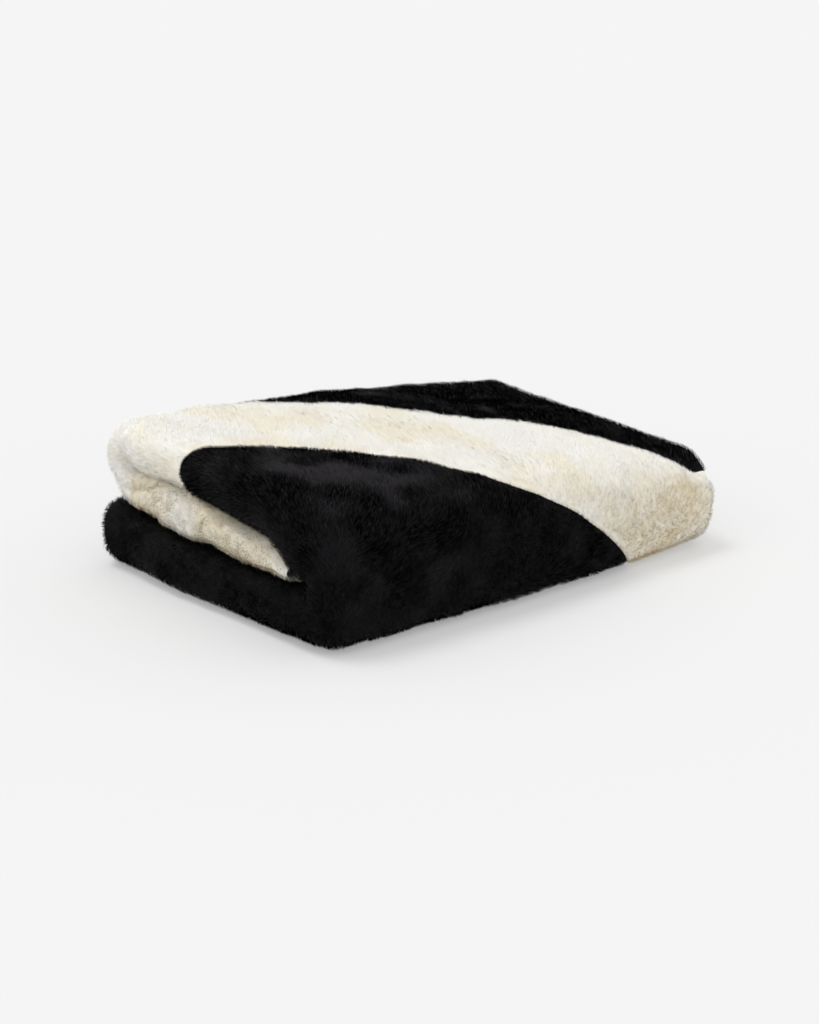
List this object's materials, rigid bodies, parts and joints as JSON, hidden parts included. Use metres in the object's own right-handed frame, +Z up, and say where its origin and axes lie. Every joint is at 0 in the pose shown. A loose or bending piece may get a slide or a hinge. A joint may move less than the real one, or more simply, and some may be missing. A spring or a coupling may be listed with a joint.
{
  "type": "folded throw blanket",
  "caption": "Thick faux-fur throw in black with a broad curved cream stripe, folded in thirds both ways into a soft pack whose top turns over on the big front fold.",
  "frame": {"origin": "on the floor under the middle of the folded pack", "axes": "+X along the pack's long side towards its flatter end, +Y from the big front fold to the back, +Z up"},
  "size_m": [0.5092, 0.3619, 0.1466],
  "materials": {
    "black_fur": "short dense black faux-fur pile with a soft velvet sheen",
    "cream_fur": "short dense cream faux-fur pile, a little darker between the tufts",
    "seam_allowance": "joined seam allowances at the bottom of the groove in the pile",
    "backing_cloth": "plain knitted backing, hidden inside the folds"
  },
  "bodies": {
    "bottom": {"black_field_bottom": "black_fur", "cream_stripe_bottom": "cream_fur", "near_seam_bottom": "seam_allowance", "inner_plies_bottom": "backing_cloth", "hem_bottom": "black_fur"},
    "front_fold": {"black_field_front": "black_fur", "cream_stripe_front": "cream_fur", "near_seam_front": "seam_allowance", "inner_plies_front": "backing_cloth"},
    "top": {"black_field_top": "black_fur", "cream_stripe_top": "cream_fur", "black_corner_top": "black_fur", "near_seam_top": "seam_allowance", "far_seam_top": "seam_allowance", "inner_plies_top": "backing_cloth", "cream_stripe_back": "cream_fur", "black_corner_back": "black_fur", "far_seam_back": "seam_allowance", "inner_plies_back": "backing_cloth", "cream_stripe_flap": "cream_fur", "black_corner_flap": "black_fur", "far_seam_flap": "seam_allowance", "inner_plies_flap": "backing_cloth", "hem_flap": "cream_fur"}
  },
  "joints": [
    {"name": "lower_bend_unrolls", "type": "hinge", "parent": "bottom", "child": "front_fold", "pos_m": [0, -0.16577, 0.01483], "axis": [1, 0, 0], "range_deg": [0, 90]},
    {"name": "upper_bend_unrolls", "type": "hinge", "parent": "front_fold", "child": "top", "pos_m": [0, -0.16577, 0.11231], "axis": [0.9963, 0, -0.086], "range_deg": [0, 90]}
  ],
  "couplings": [
    {"joint": "upper_bend_unrolls", "follows": "lower_bend_unrolls", "ratio": 1}
  ]
}
